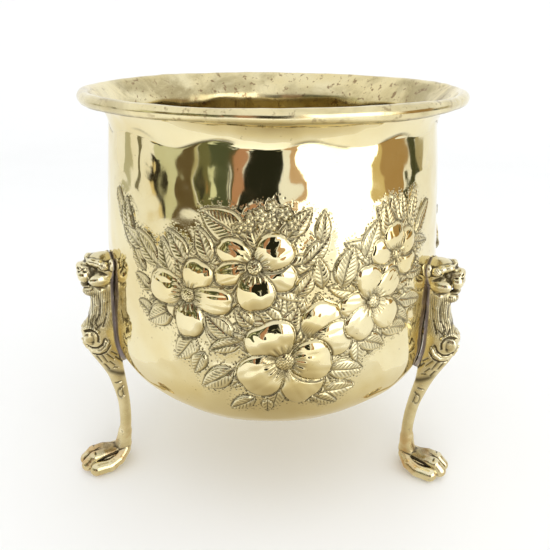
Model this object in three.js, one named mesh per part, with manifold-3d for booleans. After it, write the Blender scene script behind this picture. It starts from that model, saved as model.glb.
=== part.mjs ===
// Footed brass planter: a spun and chased bowl with a wired rim, on three cast lion legs.
// Millimetres, +Z up, the front of the pot faces -Y, the origin is on the floor at the middle of the
// pot's footprint. The bowl's own axis stands a little off it, because the legs don't reach out alike.
import * as THREE from "three";
import { mergeVertices } from "three/addons/utils/BufferGeometryUtils.js";
import Module from "manifold-3d";

const wasm = await Module();
wasm.setup();

const GAP = 0.3; // clearance left between neighbouring pieces

// ---- bowl ----
const SHEET = 0.8;
const BASE_RADIUS = 30; // flat disc under the bowl
const BASE_Z = 40.8;
const DISH_RADIUS = 160; // arc from the base to the corner, centred on the axis
const CORNER_RADIUS = 42;
const BELLY_RADIUS = 122;
const NECK_RADIUS = 112;
const NECK_Z = 257;
const FLARE_RADIUS = 18; // the neck turns out into the lip on this arc
const FLARE_ANGLE = Math.PI / 4;
const BOWL_SEGMENTS = 56;

// ---- chased garland: u is the arc round the belly, s the length up the wall from the base's edge ----
const PANELS = [0, 120, 240]; // azimuths between the legs, the front one first
const SIDE_REACH = 60; // the two panels behind carry only the pieces this near their middle
// Each blossom: its middle [u, s], and its petals as [direction in degrees, length, half width].
const BLOSSOMS = [
  { middle: [22, 156], petals: [[62, 29, 12], [8, 28, 11.5]] },
  {
    middle: [81, 204],
    petals: [[-112, 20, 8], [-35, 21, 8], [165, 21, 8], [30, 21, 8], [100, 20, 8.5]],
  },
  {
    middle: [64, 177],
    petals: [[180, 23, 8], [104, 25, 9], [40, 25, 8.5], [234, 27, 10.5], [-45, 25, 10]],
  },
  {
    middle: [-51, 183],
    petals: [[232, 20, 8], [64, 25, 9.5], [173, 29, 11], [-88, 28, 9.5], [-4, 29, 8.5]],
  },
  {
    middle: [-10, 204],
    petals: [[148, 25, 8.5], [-20, 26, 9.5], [198, 25, 7], [-88, 27, 11.5], [38, 26, 11]],
  },
  { middle: [8, 145], petals: [[-56, 31, 13.5], [0, 29, 13.5], [122, 29, 15.5], [213, 31, 14.5]] },
];
// Each leaf: its stalk's end u, s, then its direction, length and half width.
const LEAVES = [
  [-15, 220, 151, 31, 9.5], [14, 221, 50, 21, 5], [42, 189, 76, 26, 7], [56, 206, 65, 23, 6],
  [102, 211, 47, 26, 5], [-97, 201, 104, 33, 6], [-73, 197, 135, 27, 6.5], [-63, 171, 213, 23, 7],
  [-47, 157, 234, 22, 7.5], [-23, 138, 217, 25, 7], [34, 137, -9, 25, 6.5], [71, 157, -14, 25, 6],
];
const PETAL_RISE = 2.4;
const LEAF_RISE = 1.4;
const BOSS = { half: 4.5, rise: 2.8 };
const SWELLING_SIDES = 8;
// Domes on a skirt sunk in the wall, as [radius, height] profiles of half the width and of the rise.
const PETAL_DOME = [[0, -1.5], [1, -1.5], [1, 0.1], [0.7, 0.75], [0, 1]];
const LEAF_DOME = [[0, -1.5], [1, -1.5], [1, 0.2], [0, 1]];

// ---- wired rim ----
const RIM_RADIUS = 130;
const RIM_TOP = 279;
const BEAD_RADIUS = 4;
const WIRE_RADIUS = BEAD_RADIUS - SHEET - GAP;
const CURL_END = (-170 * Math.PI) / 180; // the curl stops here, short of the lip's underside

// ---- legs ----
const LEGS = [
  { name: "front_left", azimuth: -66.5, toeOut: 4.5 },
  { name: "front_right", azimuth: 63, toeOut: -4.5 },
  { name: "back", azimuth: 180, toeOut: 0 },
];
const SHANK_TOP = 78; // below this height each shank is bent out or in by its toeOut
// Level ovals up the leg: height, innermost and outermost radius from the bowl's axis, half width.
const LEG_OVALS = [
  { z: 8, back: 121, front: 134, half: 8 },
  { z: 18, back: 119, front: 128.5, half: 6.5 },
  { z: 30, back: 117.3, front: 125.6, half: 4.8 },
  { z: 45, back: 116.3, front: 124.4, half: 4.3 },
  { z: 61, back: 117.2, front: 126, half: 4.6 },
  { z: 76, back: 118.8, front: 130.2, half: 5.6 },
  { z: 92, back: 118.5, front: 137.4, half: 7.6 },
  { z: 107, back: 115, front: 143.8, half: 9.6 },
  { z: 119, back: 114, front: 146, half: 10.4 },
  { z: 128, back: 114, front: 140.4, half: 9.6 },
  { z: 137, back: 114, front: 137.2, half: 9 },
  { z: 160, back: 114, front: 135.5, half: 9 },
];
const OVALS_DRAWN = 18;
const OVAL_SIDES = 12;

// Cast lumps joined to the leg: centre (radius, side, height) and half sizes in the same order.
const HEAD_LUMPS = {
  skull: { at: [125.5, 0, 163.5], half: [10.5, 10.4, 10.8] },
  brow: { at: [129.5, 0, 168], half: [6.8, 9, 5.6] },
  muzzle: { at: [137.6, 0, 162.8], half: [6.6, 5.9, 6.8] },
  jaw: { at: [136.9, 0, 148.6], half: [4.9, 4.8, 4.4] },
};
const HEAD_PAIRS = {
  ear: { at: [124, 9.2, 168.5], half: [3.6, 2.6, 4.2] },
  cheek: { at: [130.5, 7.4, 157.2], half: [7.2, 3.8, 4.8] },
  haunch_scroll: { at: [139, 8.6, 113], half: [6.5, 3.2, 8.5] },
};
const PAW_PAD = { at: [136.5, 0, 9.5], half: [14, 11, 12] };
const TOES = [
  { side: -9.3, reach: 142.5 },
  { side: -3.3, reach: 145 },
  { side: 3.3, reach: 145 },
  { side: 9.3, reach: 142.5 },
];
const TOE_HALF = [7.3, 3.7, 8.6];
const TOE_Z = 8;
const LUMP_SIDES = 10;
const FLOOR_CUT = { across: 400, deep: 40 }; // the block that cuts the soles flat

// ---- fixings ----
const SCREW_HEIGHTS = { upper: 160, lower: 118 };
const SHANK_RADIUS = 2.5;
const SCREW_HOLE_RADIUS = SHANK_RADIUS + GAP;
const SCREW_REACH = 13; // how far a screw's hole runs out from the bowl's wall
const HOLE_LEAD = 3; // how far inside the wall that hole starts
const HEAD_RADIUS = 4.5;
const HEAD_HEIGHT = 2.8;
const SLOT = { width: 1.2, depth: 1.3 };
const WASHER_RADIUS = 6;
const WASHER_THICKNESS = 1;
const WASHER_STANDOFF = 0.75; // keeps a flat washer clear of the curved wall
const ROUND_SIDES = 16;

// ---- small tools ----
function solidOf(geometry) {
  const plain = geometry.clone();
  plain.deleteAttribute("normal");
  plain.deleteAttribute("uv");
  const merged = mergeVertices(plain, 1e-4);
  return new wasm.Manifold(
    new wasm.Mesh({
      numProp: 3,
      vertProperties: new Float32Array(merged.attributes.position.array),
      triVerts: new Uint32Array(merged.index.array),
    }),
  );
}

function geometryOf(solid) {
  const mesh = solid.getMesh();
  const geometry = new THREE.BufferGeometry();
  geometry.setAttribute("position", new THREE.BufferAttribute(mesh.vertProperties, 3));
  geometry.setIndex(new THREE.BufferAttribute(mesh.triVerts, 1));
  geometry.computeVertexNormals();
  return geometry;
}

function joined(solids) {
  return solids.reduce((sum, solid) => sum.add(solid));
}

// A profile of [radius, z] points, closed on itself or ending on the axis, turned about +Z.
function turned(profile, segments) {
  const points = profile.map(([r, z]) => new THREE.Vector2(r, z));
  return new THREE.LatheGeometry(points, segments).rotateX(Math.PI / 2);
}

// Points on an arc in the profile plane, from one angle to another.
function arc([r, z], radius, from, to, steps) {
  return Array.from({ length: steps + 1 }, (_, i) => {
    const angle = from + ((to - from) * i) / steps;
    return [r + radius * Math.cos(angle), z + radius * Math.sin(angle)];
  });
}

function brass(color, roughness) {
  return new THREE.MeshStandardMaterial({ color, roughness, metalness: 1 });
}

const BOWL_BRASS = brass(0xd9c27a, 0.22);
const CAST_BRASS = brass(0xb99a55, 0.35);
const STEEL = brass(0x8d8a84, 0.45);
const SCREW_BRASS = brass(0xa88a4c, 0.4);

// ---- bowl profile, for the outer face or any face offset inwards from it ----
const dishCentreZ = BASE_Z + Math.sqrt(DISH_RADIUS ** 2 - BASE_RADIUS ** 2);
const cornerCentreRadius = BELLY_RADIUS - CORNER_RADIUS;
const cornerAngle = Math.asin(cornerCentreRadius / (DISH_RADIUS - CORNER_RADIUS));
const cornerZ = dishCentreZ - (DISH_RADIUS - CORNER_RADIUS) * Math.cos(cornerAngle);
const beadCentre = [RIM_RADIUS - BEAD_RADIUS, RIM_TOP - BEAD_RADIUS];
const lipTangent = Math.PI / 2 + FLARE_ANGLE; // where the lip runs into the bead

function wallRadius(z) {
  const t = (z - cornerZ) / (NECK_Z - cornerZ);
  return BELLY_RADIUS - (BELLY_RADIUS - NECK_RADIUS) * t * t;
}

function bowlWall(offset, stops = { dish: 4, corner: 6, wall: 5, flare: 3 }) {
  const dishStart = Math.acos((dishCentreZ - BASE_Z - offset) / (DISH_RADIUS - offset));
  const dish = arc(
    [0, dishCentreZ],
    DISH_RADIUS - offset,
    -Math.PI / 2 + dishStart,
    -Math.PI / 2 + cornerAngle,
    stops.dish,
  );
  const corner = arc(
    [cornerCentreRadius, cornerZ],
    CORNER_RADIUS - offset,
    -Math.PI / 2 + cornerAngle,
    0,
    stops.corner,
  );
  const wall = Array.from({ length: stops.wall }, (_, i) => {
    const z = cornerZ + ((NECK_Z - cornerZ) * (i + 1)) / stops.wall;
    return [wallRadius(z) - offset, z];
  });
  const flare = arc(
    [NECK_RADIUS + FLARE_RADIUS, NECK_Z],
    FLARE_RADIUS + offset,
    Math.PI,
    Math.PI - FLARE_ANGLE,
    stops.flare,
  );
  const base = [0, BASE_Z + offset];
  return [base, ...dish, ...corner.slice(1), ...wall, ...flare.slice(1)];
}

// The sheet runs out along the outer face, round the curl and back down the inner face.
function bowlShell() {
  const curlSteps = 8;
  const underside = arc(beadCentre, BEAD_RADIUS - SHEET, lipTangent, CURL_END, curlSteps);
  const topside = arc(beadCentre, BEAD_RADIUS, CURL_END, lipTangent, curlSteps);
  return solidOf(
    turned([...bowlWall(0), ...underside, ...topside, ...bowlWall(SHEET).reverse()], BOWL_SEGMENTS),
  );
}

function rimWire() {
  const ring = new THREE.TorusGeometry(beadCentre[0], WIRE_RADIUS, 8, BOWL_SEGMENTS);
  return ring.translate(0, 0, beadCentre[1]);
}

// ---- the garland's petals and leaves, raised from the sheet and ending halfway into it ----
const fineWall = bowlWall(0, { dish: 30, corner: 20, wall: 30, flare: 3 });

// The point of the wall's outer profile at a length up the wall, and its direction there.
function wallAt(s) {
  let left = s + BASE_RADIUS; // the profile starts on the axis
  for (let i = 1; i < fineWall.length; i++) {
    const [[r0, z0], [r1, z1]] = [fineWall[i - 1], fineWall[i]];
    const step = Math.hypot(r1 - r0, z1 - z0);
    if (left <= step) {
      const t = left / step;
      return { r: r0 + (r1 - r0) * t, z: z0 + (z1 - z0) * t, dr: (r1 - r0) / step, dz: (z1 - z0) / step };
    }
    left -= step;
  }
  throw new Error("that is past the lip");
}

// An oval swelling on the wall, its long axis turned from the level by direction.
function swelling(dome, [u, s], direction, halfLength, half, rise) {
  const { r, z, dr, dz } = wallAt(s);
  const azimuth = u / BELLY_RADIUS;
  const [sin, cos] = [Math.sin(azimuth), Math.cos(azimuth)];
  const round = new THREE.Vector3(cos, sin, 0);
  const up = new THREE.Vector3(sin * dr, -cos * dr, dz);
  const out = new THREE.Vector3(sin * dz, -cos * dz, -dr);
  const frame = new THREE.Matrix4().makeBasis(round, up, out).setPosition(sin * r, -cos * r, z);
  const oval = turned(dome, SWELLING_SIDES)
    .scale(halfLength, half, rise)
    .rotateZ((direction * Math.PI) / 180);
  return solidOf(oval.applyMatrix4(frame));
}

// A petal or leaf that starts at this point and reaches out from it.
function blade(dome, [u, s], direction, length, half, rise) {
  const angle = (direction * Math.PI) / 180;
  const middle = [u + (length / 2) * Math.cos(angle), s + (length / 2) * Math.sin(angle)];
  return swelling(dome, middle, direction, length / 2, half, rise);
}

function garland(reach) {
  const near = ([u]) => Math.abs(u) <= reach;
  const leaves = LEAVES.filter(near).map(([u, s, direction, length, half]) =>
    blade(LEAF_DOME, [u, s], direction, length, half, LEAF_RISE),
  );
  const blossoms = BLOSSOMS.filter(({ middle }) => near(middle)).flatMap(({ middle, petals }) => [
    ...petals.map((petal) => blade(PETAL_DOME, middle, ...petal, PETAL_RISE)),
    swelling(LEAF_DOME, middle, 0, BOSS.half, BOSS.half, BOSS.rise),
  ]);
  return joined([...leaves, ...blossoms]);
}

function chasedWork() {
  const panels = PANELS.map((azimuth) =>
    garland(azimuth === 0 ? Infinity : SIDE_REACH).rotate([0, 0, azimuth]),
  );
  const midSheet = solidOf(turned([...bowlWall(SHEET / 2), [0, NECK_Z + FLARE_RADIUS]], BOWL_SEGMENTS));
  return joined(panels).subtract(midSheet);
}

// ---- legs, built in their own frame: x is the distance from the bowl's axis, y is to the side ----
function lump({ at, half }) {
  return solidOf(
    new THREE.SphereGeometry(1, LUMP_SIDES, LUMP_SIDES / 2).scale(...half).translate(...at),
  );
}

function pair({ at: [x, y, z], half }) {
  return [-y, y].map((side) => lump({ at: [x, side, z], half }));
}

// A smooth curve through the leg ovals gives every oval that is drawn.
function legBody(toeOut) {
  const through = (key) =>
    new THREE.CatmullRomCurve3(LEG_OVALS.map((oval) => new THREE.Vector3(oval[key], 0, oval.z)));
  const curves = { back: through("back"), front: through("front"), half: through("half") };
  const positions = [];
  for (let i = 0; i <= OVALS_DRAWN; i++) {
    const t = i / OVALS_DRAWN;
    const back = curves.back.getPoint(t);
    const front = curves.front.getPoint(t).x;
    const half = curves.half.getPoint(t).x;
    const bend = toeOut * Math.max(0, 1 - back.z / SHANK_TOP);
    const centre = (front + back.x) / 2 + bend;
    for (let k = 0; k < OVAL_SIDES; k++) {
      const angle = (2 * Math.PI * k) / OVAL_SIDES;
      positions.push(
        centre + ((front - back.x) / 2) * Math.cos(angle),
        half * Math.sin(angle),
        back.z,
      );
    }
  }
  return solidOf(stackedRings(positions, OVAL_SIDES, OVALS_DRAWN));
}

// Closed skin over rings of equal length, with a flat fan on the first and last ring.
function stackedRings(positions, sides, last) {
  const index = [];
  for (let i = 0; i < last; i++) {
    for (let k = 0; k < sides; k++) {
      const a = i * sides + k;
      const b = i * sides + ((k + 1) % sides);
      index.push(a, b, b + sides, a, b + sides, a + sides);
    }
  }
  for (let k = 1; k < sides - 1; k++) {
    index.push(0, k + 1, k);
    index.push(last * sides, last * sides + k, last * sides + k + 1);
  }
  const geometry = new THREE.BufferGeometry();
  geometry.setAttribute("position", new THREE.Float32BufferAttribute(positions, 3));
  geometry.setIndex(index);
  return geometry;
}

// Toes and pad stand on the floor, cut flat along z = 0.
function paw(toeOut) {
  const toes = TOES.map(({ side, reach }) => lump({ at: [reach, side, TOE_Z], half: TOE_HALF }));
  return joined([lump(PAW_PAD), ...toes]).translate([toeOut, 0, 0]);
}

function leg({ toeOut }) {
  const head = [...Object.values(HEAD_LUMPS).map(lump), ...Object.values(HEAD_PAIRS).flatMap(pair)];
  const whole = joined([legBody(toeOut), paw(toeOut), ...head]);
  const holes = Object.values(SCREW_HEIGHTS).map(screwHole);
  return whole.subtract(bowlClearance).subtract(belowFloor).subtract(joined(holes));
}

// ---- screws and washers, each on a level axis pointing out from the bowl's axis ----
function cylinder(radius, length) {
  return solidOf(
    new THREE.CylinderGeometry(radius, radius, length, ROUND_SIDES).translate(0, length / 2, 0),
  );
}

// Turns a piece built along +Y so that it starts at this radius and points outwards at height z.
function alongX(solid, radius, z) {
  return solid.rotate([0, 0, -90]).translate([radius, 0, z]);
}

function screwHole(z) {
  return alongX(cylinder(SCREW_HOLE_RADIUS, HOLE_LEAD + SCREW_REACH), wallRadius(z) - HOLE_LEAD, z);
}

function washer(z) {
  const ring = cylinder(WASHER_RADIUS, WASHER_THICKNESS).subtract(
    cylinder(SCREW_HOLE_RADIUS, 3 * WASHER_THICKNESS).translate([0, -WASHER_THICKNESS, 0]),
  );
  return alongX(ring, washerFace(z), z);
}

function washerFace(z) {
  return wallRadius(z) - SHEET - WASHER_STANDOFF - WASHER_THICKNESS;
}

function screw(z) {
  const head = cylinder(HEAD_RADIUS, HEAD_HEIGHT);
  const shank = cylinder(SHANK_RADIUS, HEAD_HEIGHT + WASHER_THICKNESS + SCREW_REACH);
  const slot = solidOf(
    new THREE.BoxGeometry(3 * HEAD_RADIUS, 2 * SLOT.depth, SLOT.width),
  );
  return alongX(head.add(shank).subtract(slot), washerFace(z) - GAP - HEAD_HEIGHT, z);
}

// ---- the assembly ----
const onBowlAxis = new THREE.Group();

function place(name, solid, material, azimuth = 0) {
  const mesh = new THREE.Mesh(geometryOf(solid), material);
  mesh.name = name;
  mesh.rotation.z = ((azimuth - 90) * Math.PI) / 180;
  onBowlAxis.add(mesh);
}

const bowlClearance = solidOf(
  turned([...bowlWall(-GAP), [0, NECK_Z + FLARE_RADIUS]], BOWL_SEGMENTS),
);

const belowFloor = solidOf(
  new THREE.BoxGeometry(FLOOR_CUT.across, FLOOR_CUT.across, FLOOR_CUT.deep).translate(
    0,
    0,
    -FLOOR_CUT.deep / 2,
  ),
);

const shellHoles = LEGS.flatMap(({ azimuth }) =>
  Object.values(SCREW_HEIGHTS).map((z) => screwHole(z).rotate([0, 0, azimuth - 90])),
);
const shell = bowlShell().add(chasedWork()).subtract(joined(shellHoles));
place("bowl_shell", shell, BOWL_BRASS, 90);
place("rim_wire", solidOf(rimWire()), STEEL, 90);
for (const each of LEGS) {
  place(`leg_${each.name}`, leg(each), CAST_BRASS, each.azimuth);
  for (const [level, z] of Object.entries(SCREW_HEIGHTS)) {
    place(`screw_${each.name}_${level}`, screw(z), SCREW_BRASS, each.azimuth);
    place(`washer_${each.name}_${level}`, washer(z), SCREW_BRASS, each.azimuth);
  }
}

const footprint = new THREE.Box3().setFromObject(onBowlAxis).getCenter(new THREE.Vector3());
onBowlAxis.position.set(-footprint.x, -footprint.y, 0);

const planter = new THREE.Group();
planter.name = "brass_planter_pot";
planter.add(onBowlAxis);

export default planter;
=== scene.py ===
"""Brass planter: chased bowl on three cast lion legs, dressed on top of the CAD frame."""

import math
from collections import namedtuple

import bpy
import numpy as np
import openvdb
from mathutils import Matrix, Vector


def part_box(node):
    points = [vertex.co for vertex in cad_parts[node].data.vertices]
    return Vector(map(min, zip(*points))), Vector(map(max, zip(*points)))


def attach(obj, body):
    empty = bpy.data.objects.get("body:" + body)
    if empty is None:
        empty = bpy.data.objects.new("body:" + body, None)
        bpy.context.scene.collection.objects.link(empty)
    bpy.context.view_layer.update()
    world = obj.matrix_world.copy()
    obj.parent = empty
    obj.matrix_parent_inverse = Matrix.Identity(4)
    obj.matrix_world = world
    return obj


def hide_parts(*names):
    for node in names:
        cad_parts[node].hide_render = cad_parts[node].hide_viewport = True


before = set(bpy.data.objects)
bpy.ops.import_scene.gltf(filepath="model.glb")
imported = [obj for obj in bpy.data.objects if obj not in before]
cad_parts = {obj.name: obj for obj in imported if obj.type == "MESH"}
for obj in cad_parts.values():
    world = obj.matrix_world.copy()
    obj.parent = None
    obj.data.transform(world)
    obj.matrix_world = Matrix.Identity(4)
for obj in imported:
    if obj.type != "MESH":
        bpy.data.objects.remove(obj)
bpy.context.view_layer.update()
rng = np.random.default_rng(7)

MM = 0.001
BOWL_LOW, BOWL_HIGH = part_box("bowl_shell")
AXIS_X = (BOWL_LOW[0] + BOWL_HIGH[0]) / 2
AXIS_Y = (BOWL_LOW[1] + BOWL_HIGH[1]) / 2

# ---- bowl dimensions, millimetres, the same as the CAD's ----
SHEET = 0.8
BASE_RADIUS = 30.0
BASE_Z = BOWL_LOW[2] / MM
DISH_RADIUS = 160.0
CORNER_RADIUS = 42.0
BELLY_RADIUS = 122.0
NECK_RADIUS = 112.0
NECK_Z = 257.0
FLARE_RADIUS = 18.0
FLARE_ANGLE = math.radians(45)
LIP_ANGLE = math.pi / 2 + FLARE_ANGLE  # where on the bead the lip's sheet joins it
RIM_RADIUS = 130.0
RIM_TOP = 279.0
BEAD_RADIUS = 4.0
CURL_END = math.radians(-170)

DISH_CENTRE_Z = BASE_Z + math.sqrt(DISH_RADIUS**2 - BASE_RADIUS**2)
CORNER_CENTRE_R = BELLY_RADIUS - CORNER_RADIUS
CORNER_ANGLE = math.asin(CORNER_CENTRE_R / (DISH_RADIUS - CORNER_RADIUS))
CORNER_Z = DISH_CENTRE_Z - (DISH_RADIUS - CORNER_RADIUS) * math.cos(CORNER_ANGLE)
BEAD_CENTRE = (RIM_RADIUS - BEAD_RADIUS, RIM_TOP - BEAD_RADIUS)

# ---- the chased field: u is the arc round the belly, s the length up the wall from the base's edge ----
PANELS = (0, 120, 240)  # azimuths of the three panels between the legs, the front one first
PANEL_HALF = 60  # half a panel's width, degrees
FRONT_REACH, SIDE_REACH = 200.0, 60.0  # a panel carries the pieces that start this near its middle
FIELD_FROM, FIELD_TO = 92.0, 252.0
FIELD_STEP = 0.53
FINE_SEGMENTS = 1440
COARSE_SEGMENTS = 288

# Each flower: its centre, boss radius, then its petals as (direction, length, half width).
FLOWERS = {
    "half_hidden": ((22, 156), 3.5, [(62, 29, 12), (8, 28, 11.5)]),
    "upper_right": ((81, 204), 3.2, [(-112, 20, 8), (-35, 21, 8), (165, 21, 8), (30, 21, 8), (100, 20, 8.5)]),
    "right": ((64, 177), 4.2, [(180, 23, 8), (104, 25, 9), (40, 25, 8.5), (234, 27, 10.5), (-45, 25, 10)]),
    "left": ((-51, 183), 4.4, [(232, 20, 8), (64, 25, 9.5), (173, 29, 11), (-88, 28, 9.5), (-4, 29, 8.5)]),
    "top": ((-10, 204), 4.2, [(148, 25, 8.5), (-20, 26, 9.5), (198, 25, 7), (-88, 27, 11.5), (38, 26, 11)]),
    "lowest": ((8, 145), 5.4, [(-56, 31, 13.5), (0, 29, 13.5), (122, 29, 15.5), (213, 31, 14.5)]),
}
# Each leaf: where its stalk starts, its direction, length and half width.
LEAVES = [
    (-15, 220, 151, 31, 9.5), (9, 221, 50, 21, 5), (18, 205, 47, 23, 5), (14, 186, 56, 20, 5),
    (42, 189, 76, 26, 7), (56, 206, 65, 23, 6), (95, 218, 72, 24, 3.6), (102, 211, 47, 26, 4),
    (-105, 215, 118, 25, 4), (-97, 201, 104, 33, 5.5), (-73, 197, 135, 27, 6.5), (-51, 202, 127, 24, 5.5),
    (-85, 191, 128, 19, 4.5), (-80, 180, 153, 16, 4.5), (-78, 164, 157, 15, 4.5), (-63, 171, 213, 23, 7),
    (-11, 168, 131, 15, 5), (5, 168, 132, 18, 5.5), (-23, 160, 140, 21, 6.5), (-47, 157, 234, 22, 7.5),
    (-18, 157, 201, 21, 5), (-41, 147, 246, 17, 5), (-23, 138, 217, 25, 7), (-10, 119, 212, 18, 5),
    (-2, 119, 270, 11, 3.5), (34, 137, -9, 25, 6.5), (53, 155, -26, 25, 6), (71, 157, -14, 25, 6),
    (32, 123, 0, 21, 5.5), (25, 121, -27, 19, 4.5), (86, 173, -15, 25, 6), (72, 192, 150, 17, 5),
    (90, 190, -8, 20, 5), (30, 190, 100, 20, 5), (88, 222, 95, 18, 4), (-88, 205, 150, 20, 5),
    (-36, 205, 112, 22, 5.5), (28, 218, 82, 18, 4.5),
]
BUDS = [(-14, 228, 4), (-7, 234, 4.4), (0, 229, 4.2), (7, 235, 4.6), (12, 229, 3.8), (0, 239, 3.6),
        (-20, 226, 3.2), (100, 200, 3.4), (104, 193, 3.2)]

PETAL_RISE = 3.4
PETAL_EDGE = 1.7  # how far in from its outline a petal's edge rounds over
PETAL_DOME = 0.62  # the part of a petal's rise that domes up; the rest comes with the rounded edge
PETAL_CUP = 0.16  # how much of its rise is pressed in again near its middle
FOLD_DEPTH = 0.16
STROKE_PITCH, STROKE_DEPTH = 2.6, 0.3  # the strokes at a petal's root
STAMENS = 8
LEAF_RISE = 1.5
VEIN_PITCH = 2.7
GROUND_RISE = 0.7
OUTLINE_DEPTH = 0.6
OUTLINE_WIDTH = 0.95
FILLERS = 11  # half-hidden leaves round each flower
MATTING_SPREAD = 4.2  # how far round the garland the punched ground reaches
SWELL_SPREAD, SWELL_RISE = 6.0, 0.9  # the whole garland stands a little proud of the wall
INNER_SPREAD, INNER_SHARE = 2.5, 0.8  # inside, the garland shows softer and shallower
CREASE_REACH, CREASE_DEPTH = 8.0, 0.25  # the crease where the neck turns out into the lip
NECK_DRIFT = 0.2
SEAM_IN, SEAM_WIDTH = 2.4, 1.3  # where the curl's end shows under the bead, in from its centre
UNDER_BEAD = (2.0, 3.6)  # how far below its centre the bead is painted with shade
BEAD_STAIN, INSIDE_STAIN = 0.6, 1.0  # how stained those parts are, next to 0 for the outside


# ---- helpers ----
def smooth(x, low, high):
    t = np.clip((x - low) / (high - low), 0, 1)
    return t * t * (3 - 2 * t)


def hump(x, width):
    """1 at zero, falling off smoothly to either side."""
    return np.exp(-((x / width) ** 2))


def spot(x, y, half_x, half_y):
    """A hump in two directions."""
    return np.exp(-((x / half_x) ** 2) - (y / half_y) ** 2)


def box_blur(field, radius, ends):
    """Mean over a square or a cube. ends says for each axis how the field goes on past its ends."""
    width = 2 * radius + 1
    for axis, mode in enumerate(ends):
        pad = [(0, 0)] * field.ndim
        pad[axis] = (radius + 1, radius)
        total = np.cumsum(np.pad(field, pad, mode=mode), axis=axis, dtype=np.float64)
        ahead = np.take(total, range(width, total.shape[axis]), axis=axis)
        behind = np.take(total, range(total.shape[axis] - width), axis=axis)
        field = (ahead - behind) / width
    return field


def mesh_object(name, vertices, faces, attributes=None):
    """A smooth-shaded object from points in millimetres, with float attributes on its points."""
    mesh = bpy.data.meshes.new(name)
    points = np.asarray(vertices, dtype=np.float64) * MM
    points[:, 0] += AXIS_X
    points[:, 1] += AXIS_Y
    mesh.from_pydata(points.tolist(), [], faces)
    for key, values in (attributes or {}).items():
        layer = mesh.attributes.new(key, "FLOAT", "POINT")
        layer.data.foreach_set("value", np.asarray(values, dtype=np.float32))
    mesh.polygons.foreach_set("use_smooth", np.ones(len(mesh.polygons), dtype=bool))
    mesh.update()
    obj = bpy.data.objects.new(name, mesh)
    bpy.context.collection.objects.link(obj)
    return obj


def arc_points(centre, radius, start, end, step):
    count = max(2, int(abs(end - start) * radius / step) + 1)
    angle = np.linspace(start, end, count)
    return np.stack([centre[0] + radius * np.cos(angle), centre[1] + radius * np.sin(angle)], axis=1)


# ---- bowl profile ----
def wall_radius(z):
    t = (z - CORNER_Z) / (NECK_Z - CORNER_Z)
    return BELLY_RADIUS - (BELLY_RADIUS - NECK_RADIUS) * t * t


def wall_profile(offset, step=0.25):
    """Dense points up the wall from the base's edge to the lip, moved inwards by offset."""
    dish_start = math.acos((DISH_CENTRE_Z - BASE_Z - offset) / (DISH_RADIUS - offset))
    down = -math.pi / 2
    dish = arc_points((0, DISH_CENTRE_Z), DISH_RADIUS - offset, down + dish_start, down + CORNER_ANGLE, step)
    corner = arc_points((CORNER_CENTRE_R, CORNER_Z), CORNER_RADIUS - offset, down + CORNER_ANGLE, 0, step)
    heights = np.linspace(CORNER_Z, NECK_Z, int((NECK_Z - CORNER_Z) / step))
    wall = np.stack([wall_radius(heights) - offset, heights], axis=1)
    flare = arc_points((NECK_RADIUS + FLARE_RADIUS, NECK_Z), FLARE_RADIUS + offset,
                       math.pi, math.pi - FLARE_ANGLE, step)
    reach = BEAD_RADIUS - SHEET + offset
    lip_end = np.array([[BEAD_CENTRE[0] + reach * math.cos(LIP_ANGLE),
                         BEAD_CENTRE[1] + reach * math.sin(LIP_ANGLE)]])
    return np.concatenate([dish, corner[1:], wall[1:], flare[1:], lip_end])


def along(profile):
    return np.concatenate([[0], np.cumsum(np.hypot(*np.diff(profile, axis=0).T))])


def sample(profile, s):
    length = along(profile)
    return np.stack([np.interp(s, length, profile[:, 0]), np.interp(s, length, profile[:, 1])], axis=1)


class Ripples:
    """Soft unevenness left by hammering and spinning, the same on both faces of the sheet."""

    def __init__(self, count, shortest, longest, slope):
        around = 2 * math.pi * BELLY_RADIUS
        length = rng.uniform(shortest, longest, count)
        heading = rng.uniform(0, math.pi, count)
        self.turns = np.round(around / length * np.cos(heading)) / BELLY_RADIUS
        self.rise = 2 * math.pi / length * np.sin(heading)
        self.phase = rng.uniform(0, 2 * math.pi, count)
        self.size = slope * length / (2 * math.pi) / math.sqrt(count)

    def at(self, azimuth, s):
        total = 0
        for turns, rise, phase, size in zip(self.turns, self.rise, self.phase, self.size):
            total = total + size * np.sin(turns * BELLY_RADIUS * azimuth + rise * s + phase)
        return total


# ---- relief of the chased garland ----
def span(hits):
    """The slice that holds every true value."""
    places = np.flatnonzero(hits)
    return slice(places[0], places[-1] + 1) if len(places) else slice(0, 0)


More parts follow.
